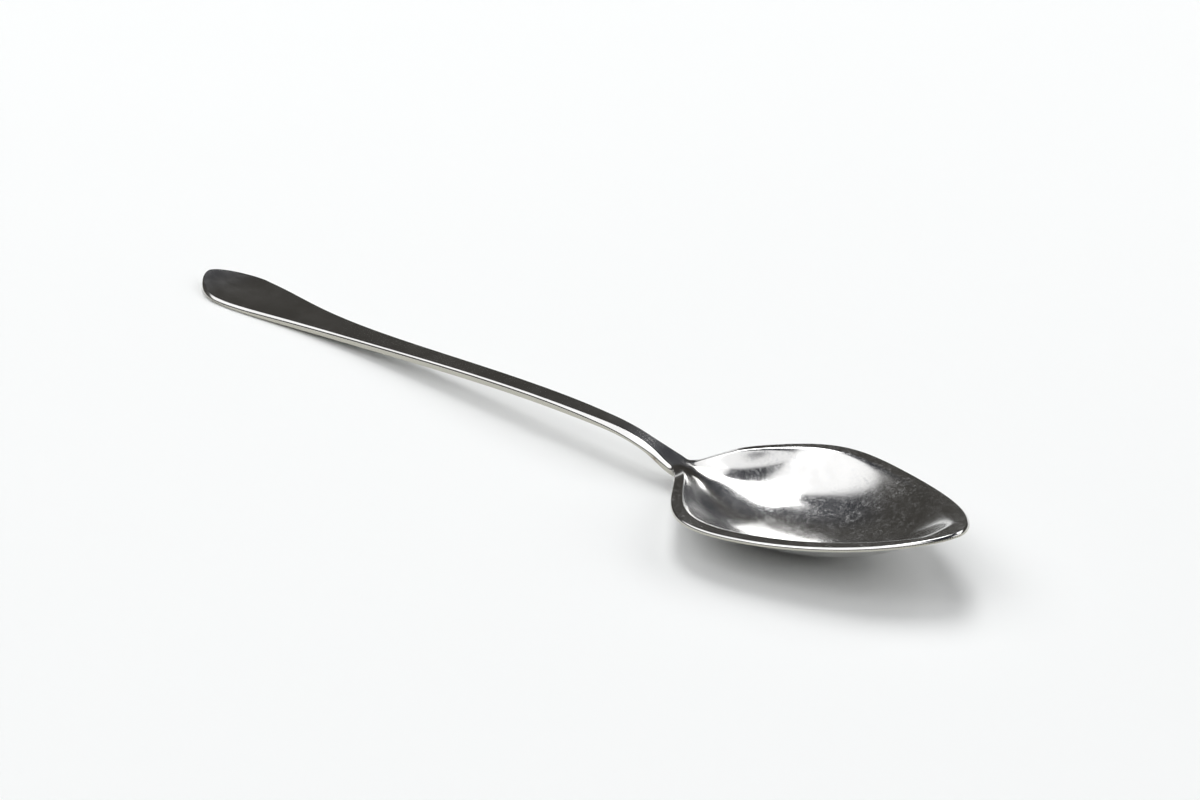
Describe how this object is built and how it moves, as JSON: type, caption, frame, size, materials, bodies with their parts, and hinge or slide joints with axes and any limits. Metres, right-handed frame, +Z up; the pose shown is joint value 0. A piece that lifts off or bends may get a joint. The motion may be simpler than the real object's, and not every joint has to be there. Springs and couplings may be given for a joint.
{
  "type": "serving spoon",
  "caption": "Long metal serving spoon: a dished, pointed-oval bowl with a level lip, a slender arched stem with bevelled edges and a flat handle end with a rounded point.",
  "frame": {"origin": "on the table, under the middle of the spoon's length and width", "axes": "+X along the spoon from the handle end to the tip of the bowl, +Y across it, +Z up out of the bowl"},
  "size_m": [0.2601, 0.0534, 0.0174],
  "materials": {
    "steel": "polished stainless steel, dulled by use, with fine scratches"
  },
  "bodies": {
    "root": {"bowl": "steel", "handle": "steel"}
  },
  "joints": []
}
